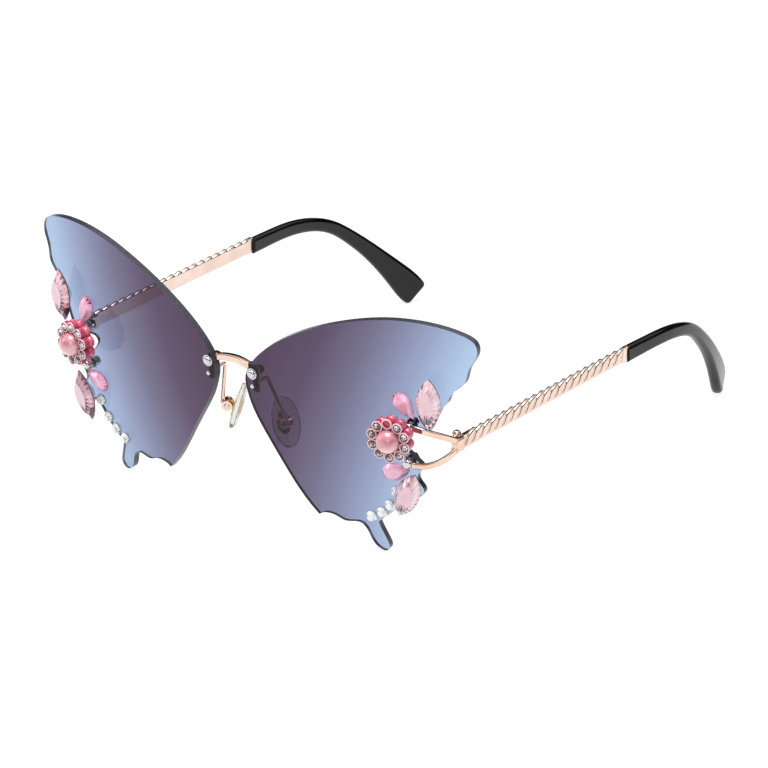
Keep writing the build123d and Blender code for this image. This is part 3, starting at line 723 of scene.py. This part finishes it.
# temples: a flat strip with S-shaped strands pressed along its outer face, and a plain collar
# levels are from the hinge screw's middle, less dropMm; a strand is lean and curl off the upright
temple = {
    "innerFaceMm": 64.57, "frontBehindMm": 0.2, "dropMm": 0.25, "lengthMm": 74.6,
    "lowEdgeMm": -2.075, "highEdgeMm": 1.72, "thicknessMm": 0.9, "edgeMm": 0.12,
    "collarMm": 2.5, "collarHeightMm": 4.5, "collarProudMm": 0.35, "collarInsetMm": 0.02,
    "collarSeamMm": 0.1, "plainMm": 0.35,
    "strands": 21, "pitchMm": 3.395, "firstMm": 2.8, "reliefMm": 0.5, "gapMm": 0.14,
    "lowMm": -1.62, "highMm": 2.34, "lean": 0.55, "curl": 0.13, "rings": 15, "sides": 16,
    "endPower": 3.4, "crownPower": 0.8, "reliefPower": 0.6, "rootShare": 0.9,
}
templeFront = hingeBack / mm + temple["frontBehindMm"]
templeMiddle = hingeLevel / mm


def roundedBox(low, high, edgeMm):
    bm = bmesh.new()
    bmesh.ops.create_cube(bm, size=1.0)
    for vert in bm.verts:
        vert.co = [(l + h) / 2 * mm + c * (h - l) * mm for c, l, h in zip(vert.co, low, high)]
    bmesh.ops.bevel(bm, geom=list(bm.edges), offset=edgeMm * mm, segments=3, profile=0.5, affect="EDGES")
    return bm


def makeStrand():
    face = temple["innerFaceMm"] + temple["thicknessMm"]
    half = (temple["highMm"] - temple["lowMm"]) / 2
    middle = (temple["highMm"] + temple["lowMm"]) / 2
    bm = bmesh.new()
    rings = []
    for n in range(1, temple["rings"]):
        part = -math.cos(math.pi * n / temple["rings"])
        fullness = (1 - abs(part) ** temple["endPower"]) ** 0.5
        up = part * half
        back = temple["lean"] * up + temple["curl"] * up ** 3
        reach = (temple["pitchMm"] - temple["gapMm"]) / 2 * fullness
        ring = []
        for k in range(temple["sides"]):
            turn = 2 * math.pi * k / temple["sides"]
            if math.cos(turn) > 0:
                rise = math.cos(turn) ** temple["crownPower"] * temple["reliefMm"]
                depth = face + rise * fullness ** temple["reliefPower"]
            else:
                depth = face + math.cos(turn) * temple["thicknessMm"] * temple["rootShare"]
            place = (depth, back + reach * math.sin(turn), middle + up)
            ring.append(bm.verts.new([c * mm for c in place]))
        rings.append(ring)
    skinRings(bm, rings)
    for patch in bm.faces:
        patch.smooth = True
    return meshFrom(bm, "strand")


# copies of a strand in a row along the temple
def makeStrandTree():
    tree, entry = newTree("strandsInRow", [("Piece", "Object"), ("Count", "Int"), ("Pitch", "Float"),
                                           ("First", "Float"), ("Level", "Float"),
                                           ("Finish", "Material")])
    start = addNode(tree, "ShaderNodeCombineXYZ",
                    links={"Y": entry.outputs["First"], "Z": entry.outputs["Level"]})
    step = addNode(tree, "ShaderNodeCombineXYZ", links={"Y": entry.outputs["Pitch"]})
    row = addNode(tree, "GeometryNodeMeshLine",
                  links={"Count": entry.outputs["Count"], "Start Location": start.outputs[0],
                         "Offset": step.outputs[0]}, mode="OFFSET")
    piece = addNode(tree, "GeometryNodeObjectInfo", links={"Object": entry.outputs["Piece"]})
    copies = addNode(tree, "GeometryNodeInstanceOnPoints",
                     links={"Points": row.outputs[0], "Instance": piece.outputs["Geometry"]})
    closeTree(tree, entry, copies.outputs[0])
    return tree


strandTree = makeStrandTree()


# cuts closed strands off square at a plane and closes them again
def trimAt(bm, yMm, keepBehind):
    facing = 1 if keepBehind else -1
    cut = bmesh.ops.bisect_plane(bm, geom=[*bm.verts, *bm.edges, *bm.faces], dist=1e-7,
                                 plane_co=(0, yMm * mm, 0), plane_no=(0, facing, 0), clear_inner=True)
    edges = [e for e in cut["geom_cut"] if isinstance(e, bmesh.types.BMEdge)]
    bmesh.ops.holes_fill(bm, edges=edges, sides=0)


def makeTemple(side, mirrored):
    inner, outer = temple["innerFaceMm"], temple["innerFaceMm"] + temple["thicknessMm"]
    middle, end = templeMiddle - temple["dropMm"], templeFront + temple["lengthMm"]
    helper = tempObject(makeStrand(), "template")
    strands = runTree(strandTree, {"Piece": helper, "Count": temple["strands"],
                                   "Pitch": temple["pitchMm"] * mm,
                                   "First": (templeFront + temple["firstMm"]) * mm,
                                   "Level": middle * mm, "Finish": ropeGold}, helper)
    bm = bmesh.new()
    bm.from_mesh(strands)
    trimAt(bm, templeFront + temple["plainMm"], True)
    trimAt(bm, end - temple["collarMm"], False)
    rope = meshFrom(bm, "rope")
    strip = roundedBox((inner, templeFront, middle + temple["lowEdgeMm"]),
                       (outer, end, middle + temple["highEdgeMm"]), temple["edgeMm"])
    collarFront = end - temple["collarMm"] + temple["collarSeamMm"]
    collarHalf = temple["collarHeightMm"] / 2
    collar = roundedBox((inner + temple["collarInsetMm"], collarFront, middle - collarHalf),
                        (outer + temple["collarProudMm"], end, middle + collarHalf),
                        2 * temple["edgeMm"])
    mesh = joinMeshes([rope, meshFrom(strip, "strip"), meshFrom(collar, "collar")], "templeRope_" + side)
    finishPiece("templeRope_" + side, mesh, [ropeGold], "temple_" + side[0],
                ["temple_" + side], mirrored)


for side, mirrored in sides:
    makeTemple(side, mirrored)
print("temples made")

# bridge: an arched bar whose ends come forward between the lenses, a neck and a plate behind each lens
bridge = {
    "plateShare": (-0.453, 0.098), "screwShare": (-0.455, 0.131), "plateMm": (2.0, 7.2, 0.9),
    "lensBackMm": -1.85, "seatMm": 0.1, "backGapMm": 0.05, "edgeMm": 0.2,
    "barHalfMm": 5.55, "barHeightMm": 1.9, "barDepthMm": 1.9, "archMm": 0.45, "aboveScrewMm": 0.35,
    "forwardMm": 0.7, "forwardEndMm": 5.2, "endShare": 0.6, "roundMm": 0.34, "steps": 36,
    "cornerSteps": 4, "neckFromMm": 4.7, "neckPastMm": 0.5, "neckShare": 0.7,
}


def makeBar(top, behind):
    bm = bmesh.new()
    rings = []
    high, deep, curve = bridge["barHeightMm"], bridge["barDepthMm"], bridge["roundMm"]
    corners = [(-curve, -curve), (-deep + curve, -curve), (-deep + curve, -high + curve),
               (-curve, -high + curve)]
    for n in range(bridge["steps"] + 1):
        across = bridge["barHalfMm"] * math.sin(math.pi / 2 * (2 * n / bridge["steps"] - 1))
        share = min(1.0, abs(across) / bridge["forwardEndMm"])
        lift = bridge["archMm"] * (1 - share ** 2)
        # the last stretch, behind the lens's edge, steps back a little
        forward = bridge["forwardMm"] * (share ** 2 if share < 1 else bridge["endShare"])
        ring = []
        for number, (back, up) in enumerate(corners):
            for k in range(bridge["cornerSteps"] + 1):
                turn = math.pi / 2 * (number + k / bridge["cornerSteps"])
                place = (across, behind + back - forward + curve * math.cos(turn),
                         top + lift + up + curve * math.sin(turn))
                ring.append(bm.verts.new([c * mm for c in place]))
        rings.append(ring)
    skinRings(bm, rings)
    for patch in bm.faces:
        patch.smooth = len(patch.verts) == 4        # the two ends stay flat
    return meshFrom(bm, "bar")


def makeBridge():
    width, height, thick = bridge["plateMm"]
    plateLow = bridge["lensBackMm"] - bridge["seatMm"] - thick
    plate = meshFrom(roundedBox((-width / 2, -height / 2, 0), (width / 2, height / 2, thick),
                                bridge["edgeMm"]), "plate")
    plate.transform(onLens(bridge["plateShare"], plateLow))
    screw = onLens(bridge["screwShare"]).translation / mm
    top = screw.z + bridge["barHeightMm"] + bridge["aboveScrewMm"]
    low = top - bridge["barHeightMm"]
    front = onLens(bridge["screwShare"], bridge["lensBackMm"]).translation.y / mm + bridge["seatMm"]
    back = onLens(bridge["screwShare"], plateLow).translation.y / mm - bridge["backGapMm"]
    behind = max(v.co.y for v in plate.vertices) / mm
    neck = roundedBox((bridge["neckFromMm"], front, low),
                      (screw.x + bridge["neckPastMm"], back,
                       low + bridge["barHeightMm"] * bridge["neckShare"]), bridge["edgeMm"])
    half = joinMeshes([plate, meshFrom(neck, "neck")], "bridgeHalf")
    mesh = withMirror(half, "bridgeArched", makeBar(top, behind))
    finishPiece("bridgeArched", mesh, [roseGold], "front", ["bridge"])


makeBridge()

# nose pads: a crowned oval of clear silicone over the insert; pinMm is out from x = 0, then from the hinge,
# and the profile is a share of the oval beside mm from the pin
nosePad = {"pinMm": (10.3, -4.8637, -7.2243), "facing": (-0.83, 0.48, -0.28), "upward": (-0.30, 0.06, 0.95),
           "lengthMm": 14.3, "widthMm": 7.9, "shiftMm": (-0.9, -0.5), "segments": 56,
           "profile": [(0.78, 2.0), (0.92, 2.1), (0.985, 2.35), (1.0, 2.7), (0.99, 3.1), (0.95, 3.5),
                       (0.87, 3.83), (0.74, 4.08), (0.56, 4.24), (0.35, 4.32), (0.15, 4.35)]}


def makeNosePad(side, mirrored):
    mesh = meshFrom(turnedShape(nosePad["profile"], nosePad["segments"], 180), "pad")
    shift = Matrix.Translation((nosePad["shiftMm"][0] * mm, nosePad["shiftMm"][1] * mm, 0))
    mesh.transform(shift @ Matrix.Diagonal((nosePad["widthMm"] / 2, nosePad["lengthMm"] / 2, 1, 1)))
    facing = Vector(nosePad["facing"]).normalized()
    across = Vector(nosePad["upward"]).normalized().cross(facing)
    out, back, up = nosePad["pinMm"]
    pin = Vector((out * mm, hingeBack + back * mm, hingeLevel + up * mm))
    mesh.transform(frameFrom(pin, across, facing))
    finishPiece("nosePadCrowned_" + side, mesh, [clearSilicone], "pad_" + side[0],
                ["nose_pad_" + side], mirrored)


for side, mirrored in sides:
    makeNosePad(side, mirrored)
print("bridge and nose pads made")

# finishes of the nodes that stay as they are
finishes = {
    "bridge": roseGold, "pad_arm": roseGold, "fork": roseGold, "hinge_front": roseGold,
    "hinge_rear": roseGold, "hinge_screw": roseGold, "temple": ropeGold,
    "bridge_screws": brightSteel, "bridge_washers": brightSteel, "bridge_pins": brightSteel,
    "bridge_nuts": brightSteel, "fork_screws": brightSteel, "fork_washers": brightSteel,
    "fork_nuts": brightSteel, "pad_screw": brightSteel, "flower_posts": brightSteel,
    "pad_insert": padBrass, "nose_pad": clearSilicone, "lens_bushes": clearNylon,
    "temple_sleeve": blackAcetate, "lens": tintedLens, "flower_petals": petalResin,
    "flower_pearl": pinkPearl, "flower_ring": ringResin, "flower_stones": cupCrystalPaintedShade,
    "marquise_upper": paleCrystal, "marquise_lower": paleCrystal, "drop_upper": roseCrystal,
    "drop_lower": roseCrystal, "clear_stones": whiteCrystal,
}
for name, thing in nodes.items():
    plainName = name.rsplit("_", 1)[0] if name.endswith(("_left", "_right")) else name
    for holder in thing.material_slots:
        holder.material = finishes[plainName]
print("finishes assigned")

# studio: pale glowing floor, soft light from above, a darker band on the horizon for the metal to mirror
# a light is its place and size in metres, and its watts
studio = {"floorMetres": 8.0, "floorHex": "#727272", "floorGlow": 0.86, "skyStrength": 0.85,
          "sky": [(0.0, "#E8E8E8"), (0.07, "#2C2827"), (0.45, "#1E1B1A"), (0.66, "#FFFFFF")],
          "lightsAim": (0, -0.01, 0.03),
          "lights": {"overhead": ((0.0, -0.08, 1.3), 0.75, 20.0),
                     "leftSide": ((-1.3, -0.7, 0.7), 0.8, 5.0),
                     "rightSide": ((1.1, -1.5, 0.9), 0.8, 5.0)},
          "bounces": 14, "clearBounces": 12}
floorMesh = bpy.data.meshes.new("floor")
half = studio["floorMetres"] / 2
corners = [(-half, -half, 0), (half, -half, 0), (half, half, 0), (-half, half, 0)]
floorMesh.from_pydata(corners, [], [(0, 1, 2, 3)])
floor = bpy.data.objects.new("floor", floorMesh)
bpy.context.scene.collection.objects.link(floor)
# opal acrylic table, cast and matt, lit from below: it leaves next to no shadow
opal, tree, shader = newMaterial("acrylicOpalLit", studio["floorHex"], Roughness=0.9,
                                 Specular_IOR_Level=0.1, Emission_Strength=studio["floorGlow"])
shader.inputs["Emission Color"].default_value = linearColour("#FFFFFF")
floorMesh.materials.append(opal)

world = bpy.data.worlds.new("studio")
bpy.context.scene.world = world
world.use_nodes = True
tree = world.node_tree
tree.nodes.clear()
direction = addNode(tree, "ShaderNodeTexCoord").outputs["Generated"]
height = addNode(tree, "ShaderNodeSeparateXYZ", links={"Vector": direction}).outputs["Z"]
band = addNode(tree, "ShaderNodeValToRGB", links={"Fac": height})
fillRamp(band, studio["sky"])
sky = addNode(tree, "ShaderNodeBackground", {"Strength": studio["skyStrength"]}, {"Color": band.outputs[0]})
addNode(tree, "ShaderNodeOutputWorld", links={"Surface": sky.outputs[0]})


def softBox(name, place, metres, watts):
    light = bpy.data.lights.new(name, "AREA")
    light.size = metres
    light.energy = watts
    box = bpy.data.objects.new(name, light)
    bpy.context.scene.collection.objects.link(box)
    box.location = place
    aim = Vector(studio["lightsAim"]) - Vector(place)
    box.rotation_euler = aim.to_track_quat("-Z", "Y").to_euler()


for name, (place, metres, watts) in studio["lights"].items():
    softBox(name, place, metres, watts)

# camera at the photograph's place, in mm out from x = 0, in front of the hinge screw and above the floor
cameraView = {"azimuth": 37.30, "elevation": 23.32, "focalPixels": 6190.0, "imagePixels": 768,
              "sensorMm": 36.0, "outwardMm": 953.7, "hingeBehindMm": 1200.55, "upwardMm": 695.3,
              "nearMetres": 0.05, "farMetres": 50}
camera = bpy.data.objects.new("camera", bpy.data.cameras.new("camera"))
bpy.context.scene.collection.objects.link(camera)
camera.data.sensor_fit = "HORIZONTAL"
camera.data.sensor_width = cameraView["sensorMm"]
camera.data.lens = cameraView["sensorMm"] * cameraView["focalPixels"] / cameraView["imagePixels"]
camera.data.clip_start = cameraView["nearMetres"]
camera.data.clip_end = cameraView["farMetres"]
azimuth, elevation = math.radians(cameraView["azimuth"]), math.radians(cameraView["elevation"])
back = Vector((math.sin(azimuth) * math.cos(elevation), -math.cos(azimuth) * math.cos(elevation),
               math.sin(elevation)))
camera.location = (cameraView["outwardMm"] * mm, hingeBack - cameraView["hingeBehindMm"] * mm,
                   cameraView["upwardMm"] * mm)
camera.rotation_euler = back.to_track_quat("Z", "Y").to_euler()
bpy.context.scene.camera = camera

scene = bpy.context.scene
scene.view_settings.view_transform = "Standard"
scene.cycles.max_bounces = studio["bounces"]        # light has to pass both faces of both lenses
scene.cycles.transmission_bounces = studio["clearBounces"]
scene.cycles.transparent_max_bounces = studio["clearBounces"]
print("studio and camera set")
